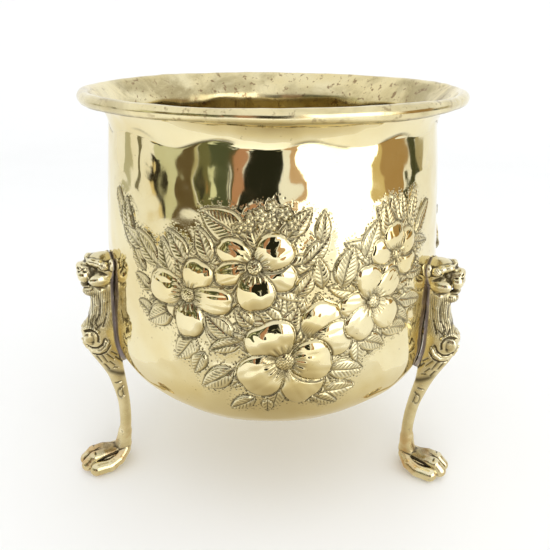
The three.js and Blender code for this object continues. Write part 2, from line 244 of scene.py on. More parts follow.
class Relief:
    """Height, and grime with painted shade, over one panel, built back to front."""

    def __init__(self, u, s, waves):
        self.u, self.s, self.waves = u, s, waves
        self.height = np.zeros_like(u)
        self.grime = np.zeros_like(u)
        self.cover = np.zeros_like(u)

    def around(self, centre, direction, radius):
        """The area near a centre, and how far its points lie along and across a direction."""
        du, ds = self.u - centre[0], self.s - centre[1]
        near = (np.abs(du) < radius) & (np.abs(ds) < radius)
        area = (span(near.any(axis=1)), span(near.any(axis=0)))
        du, ds = du[area], ds[area]
        angle = math.radians(direction)
        return area, du * math.cos(angle) + ds * math.sin(angle), ds * math.cos(angle) - du * math.sin(angle)

    def lay(self, area, edge, height, grime, depth=OUTLINE_DEPTH, width=OUTLINE_WIDTH):
        """edge is the distance from the outline in mm, negative inside. Covers what is below it."""
        inside = edge < 0
        groove = np.where(edge >= 0, np.clip(1 - edge / width, 0, 1), 0)
        self.height[area] = np.where(inside, height, self.height[area] - depth * smooth(groove, 0, 1))
        # a dark line along each outline: grime with painted shade in the groove
        line = hump(edge - 0.35, 0.55 * width)
        self.grime[area] = np.where(inside, np.maximum(grime, 0.9 * line), np.maximum(self.grime[area], line))
        self.cover[area] = np.where(inside, 1, self.cover[area])

    def petal(self, centre, direction, length, half, rise):
        """A ragged-edged pillow, cupped in the middle, with a fold at each side and strokes at its root."""
        area, x, y = self.around(centre, direction, length + 4)
        semi = 0.47 * length
        along_petal = (x - (length - semi)) / semi
        wide = half * (1 + 0.14 * along_petal)
        round_petal = np.arctan2(y / half, along_petal)
        ragged = 1 + 0.035 * np.sin(3 * round_petal + direction) + 0.09 * hump(round_petal, 0.3)
        q = (along_petal**2 + (y / np.maximum(wide, 0.3 * half)) ** 2) * ragged**2
        inside = (1 - np.sqrt(q)) * min(semi, half)
        shoulder = 1 - (1 - np.clip(inside / PETAL_EDGE, 0, 1)) ** 2
        dome = np.clip(1 - q, 0, 1)
        cup = spot(x - 0.42 * length, y, 0.26 * length, 0.6 * half)
        fold = hump(np.abs(y / half) - 0.38 - 0.1 * along_petal, 0.13) * smooth(x, 0.3 * length, 0.5 * length)
        strokes = np.cos(y * 2 * math.pi / STROKE_PITCH) ** 6 * (1 - smooth(x, 0.24 * length, 0.4 * length))
        sloping = 0.3 + 0.7 * smooth(x, 0.05 * length, 0.5 * length)
        pillow = sloping * ((1 - PETAL_DOME) * shoulder + PETAL_DOME * dome)
        pressed = (PETAL_CUP * rise * cup + FOLD_DEPTH * fold - 0.08 * self.waves[area]) * shoulder
        height = GROUND_RISE + rise * pillow - pressed - STROKE_DEPTH * strokes
        # the strokes and the petal's root by the boss are darkened: grime with painted shade
        grime = np.maximum(0.85 * strokes, 0.7 * (1 - smooth(x, 0.14 * length, 0.3 * length)))
        self.lay(area, -0.92 * inside, height, grime)

    def boss(self, centre, radius):
        """The seeded dome in the middle of a flower, with its stamens."""
        area, x, y = self.around(centre, 0, radius * 3)
        r = np.hypot(x, y)
        angle = STAMENS * np.arctan2(y, x)
        reach = smooth(r, radius, radius + 1) * (1 - smooth(r, 1.9 * radius, 2.5 * radius))
        self.height[area] += 0.5 * np.cos(angle) ** 6 * reach
        # painted shade between the stamens
        self.grime[area] = np.maximum(self.grime[area], 0.8 * reach * np.sin(angle) ** 8)
        seeds = np.cos(x * 3.1 + 0.8 * np.sin(y * 2.3)) * np.cos(y * 3.1 + 0.8 * np.sin(x * 2.3))
        dome = np.clip(1 - (r / radius) ** 2, 0, 1) ** 0.7
        height = GROUND_RISE + 0.8 + 1.1 * dome + 0.35 * seeds
        # grime with painted shade between the seeds
        self.lay(area, r - radius, height, 0.9 * smooth(-seeds, 0.0, 0.35))

    def leaf(self, base, direction, length, half, bend):
        """A pointed leaf, hollow along its midrib, with slanting veins."""
        area, x, y = self.around(base, direction, length + 4)
        t = np.clip(x / length, 0, 1)
        y = y - bend * length * t * (1 - t)
        wide = half * np.sin(math.pi * t**0.82) ** 0.85 + 0.05
        beyond = np.hypot(np.where(x < 0, x, x - length), y)
        edge = np.where((x > 0) & (x < length), (np.abs(y) - wide) * 0.9, beyond)
        q = np.abs(y) / wide
        body = np.clip(1 - q**4, 0, 1) ** 0.5 * (0.65 + 0.35 * q)
        midrib = hump(y, 0.5) * (1 - smooth(t, 0.86, 1))
        vein = 0.5 + 0.5 * np.cos(2 * math.pi * (x - 0.9 * np.abs(y)) / VEIN_PITCH)
        vein = vein**4 * smooth(q, 0.1, 0.2) * (1 - smooth(q, 0.66, 0.82)) * smooth(t, 0.06, 0.16)
        height = GROUND_RISE + LEAF_RISE * body * smooth(t, -0.05, 0.25) + 0.1 * self.waves[area]
        height = height - 0.55 * midrib - 0.35 * vein
        # painted shade over the whole leaf, deeper towards its stalk; grime with painted shade in the midrib
        # and veins
        leaf_shade = 0.12 + 0.3 * (1 - smooth(t, 0, 0.45))
        self.lay(area, edge, height, np.maximum(np.maximum(midrib, vein), leaf_shade), depth=0.5, width=0.9)

    def bud(self, centre, radius):
        """A five-lobed bud with a pit in it."""
        area, x, y = self.around(centre, 0, radius + 3)
        r = np.hypot(x, y)
        lobes = 0.5 + 0.5 * np.cos(5 * np.arctan2(y, x) + centre[0])
        outline = radius * (0.72 + 0.28 * lobes)
        dome = np.clip(1 - (r / outline) ** 2, 0, 1) ** 0.5
        pit = hump(r, 0.3 * radius)
        # grime with painted shade in the pit and between the lobes
        grime = np.maximum(0.9 * pit, 0.25 + 0.5 * (1 - lobes))
        self.lay(area, r - outline, GROUND_RISE + 1.6 * dome * (0.6 + 0.4 * lobes) - 1.1 * pit, grime)


def garland(u, s, waves, wander, reach):
    """One panel of roses. wander moves and turns each piece a little, as hand work does."""
    relief = Relief(u, s, waves)
    flowers = [flower for flower in FLOWERS.values() if abs(flower[0][0]) <= reach]

    def jog(amount):
        return wander * rng.uniform(-amount, amount)

    for centre, _, _ in flowers:
        for index in range(FILLERS):
            away = math.radians(360 * index / FILLERS + rng.uniform(-20, 20))
            start = rng.uniform(9, 19)
            base = (centre[0] + start * math.cos(away), centre[1] + start * math.sin(away))
            direction = math.degrees(away) + rng.uniform(-35, 35)
            length, half = rng.uniform(18, 25), rng.uniform(4.5, 6.5)
            relief.leaf(base, direction, length, half, rng.uniform(-0.2, 0.2))
    for base_u, base_s, direction, length, half in LEAVES:
        if abs(base_u) <= reach:
            start = (base_u + jog(2), base_s + jog(2))
            relief.leaf(start, direction + jog(7), length * (1 + jog(0.07)), half, rng.uniform(-0.16, 0.16))
    for bud_u, bud_s, radius in BUDS:
        if abs(bud_u) <= reach:
            relief.bud((bud_u + jog(1.5), bud_s + jog(1.5)), radius)
    for centre, boss, petals in flowers:
        middle = (centre[0] + jog(2), centre[1] + jog(2))
        for direction, length, half in petals:
            rise = PETAL_RISE * min(1.2, half / 11)
            relief.petal(middle, direction + jog(6), length * (1 + jog(0.06)), half, rise)
        relief.boss(middle, boss)
    return relief


BOWL_ENDS = ("edge", "wrap")  # the chased field ends at its top and bottom and goes right round


def spread(field, radius):
    cells = int(radius / FIELD_STEP)
    return box_blur(box_blur(field, cells, BOWL_ENDS), cells, BOWL_ENDS)


def chased_field(s_rows):
    """Height, grime with painted shade, and matting over the whole fine band of the bowl."""
    azimuth = np.arange(FINE_SEGMENTS) * 360 / FINE_SEGMENTS
    waves = Ripples(40, 7, 15, 1.0).at(np.radians(azimuth)[None, :], s_rows[:, None])
    height, grime, cover = np.zeros((3, len(s_rows), FINE_SEGMENTS))
    for middle in PANELS:
        from_middle = (azimuth - middle + 180) % 360 - 180
        cols = np.flatnonzero(np.abs(from_middle) <= PANEL_HALF)
        cols = cols[np.argsort(from_middle[cols])]
        u, s = np.meshgrid(np.radians(from_middle[cols]) * BELLY_RADIUS, s_rows)
        wander, reach = (0, FRONT_REACH) if middle == PANELS[0] else (1, SIDE_REACH)
        relief = garland(u, s, waves[:, cols], wander, reach)
        height[:, cols], grime[:, cols], cover[:, cols] = relief.height, relief.grime, relief.cover
    ground = 1 - cover
    near = spread(cover, MATTING_SPREAD)
    matting = np.clip(near * 3.4 - 0.1, 0, 1) * ground
    # painted shade on the ground between the garland's pieces
    grime = np.maximum(grime, 0.5 * smooth(near, 0.5, 0.85) * ground)
    height += 0.35 * smooth(near, 0, 0.6) * ground
    height += SWELL_RISE * spread(cover, SWELL_SPREAD)
    return height, grime, matting


# ---- the bowl, as rings from the middle of its base, up the outside, over the rim and down the inside ----
# A ring's point is its (radius, height) and s its length up the wall. raised is the relief round it.
Row = namedtuple("Row", "point s segments raised grime matting stain",
                 defaults=(COARSE_SEGMENTS, None, 0, 0, 0.0))


def plain_rows(points, lengths, stain=0.0):
    return [Row(point, s, stain=stain) for point, s in zip(points, lengths)]


def curl_rows(lip_length):
    """The open curl round the rim's wire, with painted shade underneath and dark where its end shows."""
    curl_in = arc_points(BEAD_CENTRE, BEAD_RADIUS - SHEET, LIP_ANGLE, CURL_END, 1.2)[1:]
    curl_out = arc_points(BEAD_CENTRE, BEAD_RADIUS, CURL_END, LIP_ANGLE, 0.5)
    rows = []
    for point in np.concatenate([curl_in, curl_out]):
        below_centre = BEAD_CENTRE[1] - point[1]
        seam = 0.9 * hump(point[0] - BEAD_CENTRE[0] + SEAM_IN, SEAM_WIDTH) * (below_centre > 0)
        # painted shade under the bead
        shaded = 0.6 * smooth(below_centre, *UNDER_BEAD)
        rows.append(Row(point, lip_length - below_centre, grime=max(seam, shaded), stain=BEAD_STAIN))
    return rows


def bowl_rows(field_rows, field):
    outer, inner = wall_profile(0), wall_profile(SHEET)
    lip_length, inner_length = along(outer)[-1], along(inner)[-1]
    creased = np.interp(NECK_Z, outer[:, 1], along(outer)) - 4
    base = np.stack([np.linspace(2, BASE_RADIUS - 2, 8), np.full(8, BASE_Z)], axis=1)
    below = np.arange(0, FIELD_FROM - 0.5, 2.5)
    neck = np.arange(FIELD_TO + 1.5, creased, 2.0)
    above = np.concatenate([neck, np.arange(creased, lip_length - 0.3, 0.6), [lip_length]])
    down = np.arange(inner_length - 1.5, 0, -2.2)

    rows = plain_rows(base, np.zeros(len(base)))
    rows += plain_rows(sample(outer, below), below)
    for point, s, height, grime, matting in zip(sample(outer, field_rows), field_rows, *field):
        rows.append(Row(point, s, FINE_SEGMENTS, height, grime, matting))
    rows += plain_rows(sample(outer, above), above)
    rows += curl_rows(lip_length)
    rows += plain_rows(sample(inner, down), down, INSIDE_STAIN)
    rows += plain_rows(base[::-1] + [0, SHEET], np.zeros(len(base)), INSIDE_STAIN)
    return rows


class HandWork:
    """How far the sheet strays from its plain profile."""

    def __init__(self, relief):
        self.broad = Ripples(14, 45, 110, 0.035)
        self.small = Ripples(40, 10, 26, 0.034)
        self.wander = Ripples(12, 20, 70, 1.0)
        self.inner_relief = box_blur(relief, int(INNER_SPREAD / FIELD_STEP), BOWL_ENDS)

    def crease(self, row, azimuth):
        """How strong the neck's crease is round a ring. It wanders and fades."""
        above_neck = row.point[1] - NECK_Z
        if row.stain == INSIDE_STAIN or abs(above_neck) >= CREASE_REACH:
            return np.zeros(row.segments)
        line = above_neck - 1.2 - 0.3 * self.wander.at(azimuth, 40.0)
        return hump(line, 0.7) * smooth(self.wander.at(azimuth, 90.0), -2.5, 3.0)

    def shift(self, row, azimuth, crease):
        """How far a ring moves along its normal."""
        quiet = smooth(row.point[0], 6, 60)
        out = (self.broad.at(azimuth, row.s) + self.small.at(azimuth, row.s)) * quiet - CREASE_DEPTH * crease
        if row.raised is not None:
            out = out + row.raised
        if row.stain < INSIDE_STAIN:
            return out
        if FIELD_FROM < row.s < FIELD_TO - 1:
            index = min(int((row.s - FIELD_FROM) / FIELD_STEP), len(self.inner_relief) - 1)
            out = out + INNER_SHARE * self.inner_relief[index, ::FINE_SEGMENTS // COARSE_SEGMENTS]
        return -out

    def drift(self, row, azimuth):
        """How far the neck's line wanders up or down."""
        return NECK_DRIFT * self.wander.at(azimuth, 0.0) * hump(row.point[1] - NECK_Z, 7)


def profile_normals(points):
    tangent = np.gradient(points, axis=0)
    tangent /= np.maximum(np.hypot(*tangent.T), 1e-9)[:, None]
    return np.stack([tangent[:, 1], -tangent[:, 0]], axis=1)


def strip(low, low_count, high, high_count):
    """Faces between two rings, which may differ in count by a whole factor."""
    count = min(low_count, high_count)
    a_step, b_step = low_count // count, high_count // count
    faces = []
    for k in range(count):
        lows = [low + (k * a_step + j) % low_count for j in range(a_step + 1)]
        highs = [high + (k * b_step + j) % high_count for j in range(b_step + 1)]
        faces.append(tuple(lows + highs[::-1]))
    return faces


def bowl_faces(rows):
    """Strips between the rings, and fans to the two centre points, which follow the last ring."""
    starts = [0, *np.cumsum([row.segments for row in rows]).tolist()]
    faces = []
    for i in range(len(rows) - 1):
        faces += strip(starts[i], rows[i].segments, starts[i + 1], rows[i + 1].segments)
    last, centre_out = starts[-2:]
    for k in range(COARSE_SEGMENTS):
        after = (k + 1) % COARSE_SEGMENTS
        faces += [(centre_out, after, k), (centre_out + 1, last + k, last + after)]
    return faces


def build_bowl():
    field_rows = np.arange(FIELD_FROM, FIELD_TO, FIELD_STEP)
    field = chased_field(field_rows)
    work = HandWork(field[0])
    rows = bowl_rows(field_rows, field)
    vertices, grime = [], []
    for row, normal in zip(rows, profile_normals(np.array([row.point for row in rows]))):
        azimuth = np.arange(row.segments) * 2 * math.pi / row.segments
        crease = work.crease(row, azimuth)
        shift = work.shift(row, azimuth, crease)
        r = row.point[0] + normal[0] * shift
        z = row.point[1] + normal[1] * shift + work.drift(row, azimuth)
        vertices.append(np.stack([r * np.sin(azimuth), -r * np.cos(azimuth), z], axis=1))
        # the neck's crease is darkened with painted shade
        grime.append(np.maximum(row.grime, 0.8 * crease))
    centres = [[0, 0, BASE_Z], [0, 0, BASE_Z + SHEET]]
    attributes = {
        "grime": np.concatenate([*grime, [0, 0]]),
        "matting": np.concatenate([*(np.broadcast_to(row.matting, row.segments) for row in rows), [0, 0]]),
        "inside": np.concatenate([*(np.full(row.segments, row.stain) for row in rows), [0, 1]]),
    }
    return mesh_object("bowl_chased", np.concatenate([*vertices, centres]), bowl_faces(rows), attributes)


# ---- cast legs: x is the distance from the bowl's axis, y is to the side, z is up ----
VOXEL = 0.42
LEG_GAP = 0.3
SHANK_TOP = 78.0
LEGS = {"leg_front_left": (-66.5, 4.5), "leg_front_right": (63, -4.5), "leg_back": (180, 0.0)}
# Level ovals up the leg: height, innermost and outermost radius, half width.
LEG_OVALS = [
    (8, 119.5, 133, 6.8), (18, 117.0, 127.5, 5.8), (30, 115.6, 124.2, 5.1), (45, 115.4, 124.0, 4.8),
    (57, 116.3, 125.3, 4.9), (68, 117.6, 128.0, 5.2), (80, 119.2, 131.8, 6.0), (92, 120.0, 137.6, 7.4),
    (99, 120.6, 141.3, 8.2), (105, 121.2, 143.6, 8.8), (111.5, 121.4, 145.2, 9.2), (117, 121.4, 145.6, 9.3),
    (121, 121.3, 144.8, 9.2), (126.5, 121.0, 141.3, 8.8), (130, 120.7, 139.2, 8.5),
    (135.5, 120.4, 138.0, 8.3), (141, 120.0, 137.2, 8.3), (156, 119.0, 136.0, 8.5),
]
WEB = [(119.4, 0, 94), (121.0, 0, 120), (120.4, 0, 145), (119.6, 0, 166)]  # joins the body to the bowl
WEB_HALF = 5.2
LEG_LOW = np.array([110.0, -16.8, -2.0])
LEG_HIGH = np.array([157.0, 16.8, 180.0])
LEG_MIDDLE = np.array([125, 0, 90])
CLAY_ENDS = ("edge", "edge", "edge")
HOLLOW_RADIUS, HOLLOW_GAIN = 1.4, 4.5  # how broad a hollow or ridge is looked for, and how strongly it tells; hollows get painted shade, ridges show wear


class Clay:
    """A signed distance field over the leg's box, negative inside the metal."""

    def __init__(self):
        shape = np.ceil((LEG_HIGH - LEG_LOW) / VOXEL).astype(int)
        self.axes = [LEG_LOW[i] + VOXEL * np.arange(shape[i]) for i in range(3)]
        self.field = np.full(shape, 4.0, dtype=np.float32)

    def block(self, low, high):
        """The part of the field inside a box, and its coordinates."""
        cut = []
        for i in range(3):
            start, stop = np.searchsorted(self.axes[i], [low[i], high[i]])
            cut.append(slice(int(start), int(stop)))
        x, y, z = (self.axes[i][cut[i]].astype(np.float32) for i in range(3))
        return tuple(cut), x[:, None, None], y[None, :, None], z[None, None, :]

    def merge(self, cut, distance, blend, carve=False):
        """Adds or carves with a soft seam of that width."""
        old = self.field[cut]
        other = -distance if carve else distance
        sign = 1 if carve else -1
        h = np.clip(0.5 + 0.5 * sign * (other - old) / blend, 0, 1)
        bulge = blend * h * (1 - h)
        self.field[cut] = old + (other - old) * h + (bulge if carve else -bulge)

    def ellipsoid(self, centre, half, blend=1.5, carve=False, mirror=False):
        for side in ((1, -1) if mirror else (1,)):
            c = np.array([centre[0], centre[1] * side, centre[2]])
            reach = np.array(half) + 4
            cut, x, y, z = self.block(c - reach, c + reach)
            px, py, pz = (x - c[0]) / half[0], (y - c[1]) / half[1], (z - c[2]) / half[2]
            k0 = np.sqrt(px**2 + py**2 + pz**2)
            k1 = np.sqrt((px / half[0]) ** 2 + (py / half[1]) ** 2 + (pz / half[2]) ** 2)
            self.merge(cut, k0 * (k0 - 1) / np.maximum(k1, 1e-6), blend, carve)

    def rod(self, start, end, r_start, r_end, blend=1.0, carve=False, mirror=False):
        for side in ((1, -1) if mirror else (1,)):
            a = np.array([start[0], start[1] * side, start[2]], dtype=float)
            b = np.array([end[0], end[1] * side, end[2]], dtype=float)
            reach = max(r_start, r_end) + 4
            cut, *place = self.block(np.minimum(a, b) - reach, np.maximum(a, b) + reach)
            d = b - a
            t = np.clip(sum((place[i] - a[i]) * d[i] for i in range(3)) / (d @ d), 0, 1)
            away = np.sqrt(sum((place[i] - a[i] - t * d[i]) ** 2 for i in range(3)))
            self.merge(cut, away - (r_start + t * (r_end - r_start)), blend, carve)

    def chain(self, points, r_start, r_end, **how):
        steps = len(points) - 1
        for i in range(steps):
            radii = [r_start + (r_end - r_start) * j / steps for j in (i, i + 1)]
            self.rod(points[i], points[i + 1], *radii, **how)

    def ovals(self, table):
        z = self.axes[2]
        height, back, front, half = (np.array(column, dtype=float) for column in zip(*table))
        middle = smooth_through(z, height, (back + front) / 2)
        deep = smooth_through(z, height, (front - back) / 2)
        wide = smooth_through(z, height, half)
        cut, x, y, _ = self.block((*LEG_LOW[:2], height[0]), (*LEG_HIGH[:2], height[-1]))
        m, d, w = (v[cut[2]][None, None, :].astype(np.float32) for v in (middle, deep, wide))
        k = np.sqrt(((x - m) / d) ** 2 + (y / w) ** 2)
        self.merge(cut, (k - 1) * np.minimum(d, w), 0.5)

    def surface(self):
        grid = openvdb.FloatGrid()
        grid.copyFromArray(self.field)
        points, triangles, quads = grid.convertToPolygons(0.0)
        corners = points.astype(np.float64) * VOXEL + LEG_LOW
        return corners, [tuple(face) for face in triangles.tolist() + quads.tolist()]

    def sample(self, field, points):
        index = np.round((points - LEG_LOW) / VOXEL).astype(int)
        index = np.clip(index, 0, np.array(field.shape) - 1)
        return field[index[:, 0], index[:, 1], index[:, 2]]


def smooth_through(x, known, values):
    """A curve through the known values with no corners."""
    slope = np.gradient(values, known)
    i = np.clip(np.searchsorted(known, x) - 1, 0, len(known) - 2)
    width = known[i + 1] - known[i]
    t = np.clip((x - known[i]) / width, 0, 1)
    return ((2 * t**3 - 3 * t**2 + 1) * values[i] + (t**3 - 2 * t**2 + t) * width * slope[i]
            + (3 * t**2 - 2 * t**3) * values[i + 1] + (t**3 - t**2) * width * slope[i + 1])


def bowl_distance(x, y, z):
    """How far a point is outside the bowl."""
    r = np.hypot(x, y)
    wall = r - wall_radius(z)
    corner = np.hypot(r - CORNER_CENTRE_R, CORNER_Z - z) - CORNER_RADIUS
    return np.where(z >= CORNER_Z, wall, corner)


def sculpt_leg():
    clay = Clay()
    clay.ovals(LEG_OVALS)
    clay.chain(WEB, WEB_HALF, WEB_HALF, blend=0.8)
    sculpt_head(clay)
    sculpt_chest(clay)
    sculpt_paw(clay)
    _, x, y, z = clay.block(LEG_LOW, LEG_HIGH + VOXEL)
    clay.field = np.maximum(clay.field, (LEG_GAP - bowl_distance(x, y, z)).astype(np.float32))
    clay.field = np.maximum(clay.field, -z)
    return clay


def sculpt_head(clay):
    clay.ellipsoid((125.5, 0, 163.5), (10.5, 10.4, 10.8), blend=3)
    clay.ellipsoid((129.5, 0, 168.0), (6.8, 9.0, 5.6), blend=2)
    clay.ellipsoid((137.2, 0, 162.8), (6.6, 5.9, 6.8), blend=2)
    clay.ellipsoid((141.4, 0, 166.4), (2.7, 4.3, 2.9), blend=1.4)
    clay.ellipsoid((139.6, 3.1, 160.2), (4.4, 3.7, 4.8), blend=1.2, mirror=True)
    clay.ellipsoid((130.5, 7.4, 157.2), (7.2, 3.6, 4.6), blend=1.6, mirror=True)
    clay.ellipsoid((136.4, 0, 147.9), (5.3, 4.9, 4.1), blend=2.2)
    # eye hollows with the eyeballs in them, the heavy brow above and the ears behind it
    socket = [(138.2, 6.9, 165.6), (134.2, 8.6, 165.2), (129.5, 10.0, 162.6), (123.5, 11.4, 160.0)]
    clay.chain(socket, 1.7, 1.1, blend=0.7, carve=True, mirror=True)
    clay.ellipsoid((134.2, 8.8, 165.2), (3.2, 2.4, 2.3), blend=0.6, carve=True, mirror=True)
    clay.ellipsoid((133.8, 6.5, 165.0), (1.8, 1.5, 1.6), blend=0.3, mirror=True)
    brow = [(137.0, 2.8, 170.2), (134.6, 6.2, 170.6), (130, 8.6, 169.4), (125, 9.6, 167.4)]
    clay.chain(brow, 2.0, 1.6, blend=1.8, mirror=True)
    clay.ellipsoid((126.8, 10.0, 167.6), (3.4, 2.2, 3.0), blend=0.5, mirror=True)
    clay.ellipsoid((121.6, 9.8, 167.4), (2.6, 2.2, 4.4), blend=0.5, mirror=True)
    clay.rod((124.3, 11.8, 170.5), (124.0, 12.2, 163.0), 0.7, 0.6, blend=0.4, carve=True, mirror=True)
    # the step down to the snout, the nose, lips and open mouth
    clay.rod((138.3, -3.6, 170.6), (138.3, 3.6, 170.6), 1.3, 1.3, blend=0.8, carve=True)
    clay.rod((145.0, 2.2, 167.0), (142.4, 2.9, 165.9), 1.0, 0.9, blend=0.4, carve=True, mirror=True)
    clay.rod((145.4, 0, 164.2), (144.4, 0, 156.0), 0.7, 0.7, blend=0.4, carve=True)
    clay.rod((144.8, 1.6, 163.4), (137.6, 6.6, 163.8), 0.7, 0.6, blend=0.4, carve=True, mirror=True)
    clay.rod((137.2, 6.6, 163.4), (135.6, 7.2, 157.0), 0.8, 0.7, blend=0.4, carve=True, mirror=True)
    clay.ellipsoid((140.4, 0, 153.6), (5.0, 8.4, 2.5), blend=0.6, carve=True)
    clay.ellipsoid((138.2, 0, 151.9), (3.6, 2.6, 1.2), blend=0.4)
    clay.ellipsoid((139.8, 0, 153.8), (2.6, 1.6, 2.8), blend=0.4)
    # the crease that parts the cheek from the throat
    clay.rod((132.0, 8.6, 151.8), (124.0, 9.8, 150.2), 0.7, 0.7, blend=0.5, carve=True, mirror=True)


def flank(r, z):
    """Half width of the leg's body at a place on its side."""
    middle = np.interp(z, [98, 118, 132, 150], [130.4, 133.4, 129.6, 127.5])
    deep = np.interp(z, [98, 118, 132, 150], [10.4, 12.2, 9.2, 8.5])
    half = np.interp(z, [98, 118, 132, 150], [8.2, 9.3, 8.4, 8.4])
    return half * math.sqrt(max(0.1, 1 - ((r - middle) / deep) ** 2))


def on_flank(clay, line, start, end, lift, blend=0.5, carve=False):
    """A round bar along (radius, height) points on both flanks, lift millimetres out of the surface."""
    points = [(r, flank(r, z) + lift, z) for r, z in line]
    clay.chain(points, start, end, blend=blend, carve=carve, mirror=True)


# Marks on the flanks, as (radius, height) points: the mane's locks and the furrows between them,
# the bars of the scroll round the haunch's boss and the furrows that part them.
LOCKS = [
    [(124.8, 152), (124.0, 142), (125.8, 132), (128.8, 123)],
    [(130.2, 149), (129.4, 141), (131.4, 133), (134.6, 126)],
    [(134.6, 144), (134.4, 138), (136.2, 132.5), (138.4, 129)],
]
FURROWS = [
    [(127.6, 148), (126.8, 140), (128.6, 131), (131.6, 123)],
    [(132.6, 145.7), (132.2, 138), (133.6, 131.5), (136.2, 127.6)],
]
HAUNCH_BOSS = (141.2, 114.6)
BARS = [
    [(129.6, 110.0), (131.6, 106.4), (135.4, 103.4), (140.2, 103.4), (143.6, 106.4), (145.4, 110.4)],
    [(135.8, 119.4), (138.6, 122.4), (142.0, 122.4), (144.6, 120.0)],
]
BAR_FURROWS = [
    [(131.8, 112.6), (133.6, 108.8), (137.0, 106.4), (140.4, 106.6), (143.0, 108.6)],
    [(136.0, 111.6), (135.8, 115.6), (137.6, 119.4), (141.0, 120.6), (144.0, 119.4)],
    [(128.0, 106.4), (131.0, 102.6), (135.6, 100.4), (140.2, 100.8)],
]


def sculpt_chest(clay):
    for lock in LOCKS:
        on_flank(clay, lock, 2.3, 1.3, -1.6, blend=1.0)
    for furrow in FURROWS:
        on_flank(clay, furrow, 0.4, 0.9, 0.5, carve=True)
    boss_r, boss_z = HAUNCH_BOSS
    clay.ellipsoid((boss_r, flank(boss_r, boss_z), boss_z), (4.4, 1.9, 5.4), blend=0.5, mirror=True)
    for bar in BARS:
        on_flank(clay, bar, 1.1, 1.0, 0.2)
    for furrow in BAR_FURROWS:
        on_flank(clay, furrow, 0.8, 0.7, 0.5, carve=True)
    clay.rod((140.4, 0, 144), (147.5, 0, 121), 0.6, 0.6, blend=0.5, carve=True)


# The paw, as (radius, side, height) points: two toes at each side, the cleft and the crease between
# them, and the cleft down the middle.
ANKLE = [(120.4, 0, 26), (121.6, 0, 15), (126, 0, 8.5)]
OUTER_TOE = [(121.4, 3.4, 12), (127, 7.8, 7.6), (134, 9.8, 5.4), (143.6, 10.0, 5.2)]
INNER_TOE = [(129, 3.2, 11.4), (138, 3.8, 12.4), (144.5, 3.9, 11.4), (149.5, 3.9, 6.4)]
TOE_CLEFT = [(128, 6.0, 13), (138, 7.4, 12), (147, 7.6, 7.5), (151.5, 7.6, 1)]
KNUCKLE = [(144.4, 2.0, 17.2), (143.8, 6.8, 15.6)]
MIDDLE_CLEFT = [(130, 0, 17.6), (142, 0, 17.4), (150.5, 0, 12.5), (154.5, 0, 2)]


def sculpt_paw(clay):
    clay.chain(ANKLE, 4.8, 6.2, blend=2)
    clay.ellipsoid((134.5, 0, 7.5), (13.5, 9.0, 9.0), blend=2)
    for side in (1, -1):
        outer, inner, cleft, knuckle = ([(r, across * side, z) for r, across, z in line]
                                        for line in (OUTER_TOE, INNER_TOE, TOE_CLEFT, KNUCKLE))
        clay.chain(outer, 4.4, 5.4, blend=0.5)
        clay.chain(inner, 4.0, 4.8, blend=0.5)
        clay.chain(cleft, 1.0, 1.3, blend=0.5, carve=True)
        clay.rod(*knuckle, 0.8, 0.7, blend=0.5, carve=True)
    clay.chain(MIDDLE_CLEFT, 0.9, 1.1, blend=0.5, carve=True)


# Engraved strokes on both flanks, as (start radius, height, end radius, height).
THIGH_STROKES = [
    (127.5, 101, 123.5, 97), (131, 100, 126.5, 94.5), (134.5, 99.5, 131, 92.5), (138, 98.5, 135, 93),
    (125, 96, 122, 92), (129.5, 93, 126, 89), (133.2, 91, 130.5, 87), (127, 87.5, 124, 86.5),
    (123, 74, 127, 73.2), (121.4, 69.5, 124.6, 66.5), (121.8, 65, 120.8, 61), (131, 113, 129.4, 110),
    (136.3, 122, 131.8, 125.3), (136.7, 125.8, 135.6, 122.6), (139.7, 125.7, 138.9, 122.9),
]
STROKE_CUT, RING_CUT, HAIR_CUT, EAR_CUT, PIT_CUT = 0.7, 0.5, 0.34, 0.5, 0.3
HAIR_PITCH = 1.25
# Places on a flank: radius, height, and half sizes along both.
DROP = (123.4, 64.0, 1.9, 4.4)
EAR = (126.8, 167.6, 2.6, 2.4)
INSTEP = (134, 15, 9, 5)
EYE = (133, 164.4, 4.4, 2.1)
MOUTH = (139.2, 153.7, 3.2, 2)


def stroke_distance(x, z, stroke):
    ax, az, bx, bz = stroke
    dx, dz = bx - ax, bz - az
    t = np.clip(((x - ax) * dx + (z - az) * dz) / (dx * dx + dz * dz), 0, 1)
    return np.hypot(x - ax - t * dx, z - az - t * dz), t


def patch(x, z, place, slope=0.0):
    """A soft oval at a place on the flank, sheared upwards by slope."""
    along_r = x - place[0]
    return spot(along_r, z - place[1] - slope * along_r, place[2], place[3])


def thigh_marks(x, z):
    """Depth of the engraved strokes and of the ring round the drop."""
    depth = np.zeros(len(x))
    for stroke in THIGH_STROKES:
        away, t = stroke_distance(x, z, stroke)
        depth = np.maximum(depth, STROKE_CUT * hump(away, 0.75 - 0.3 * t))
    ring = np.hypot((x - DROP[0]) / DROP[2], (z - DROP[1]) / DROP[3])
    return np.maximum(depth, RING_CUT * hump(ring - 1, 0.25))


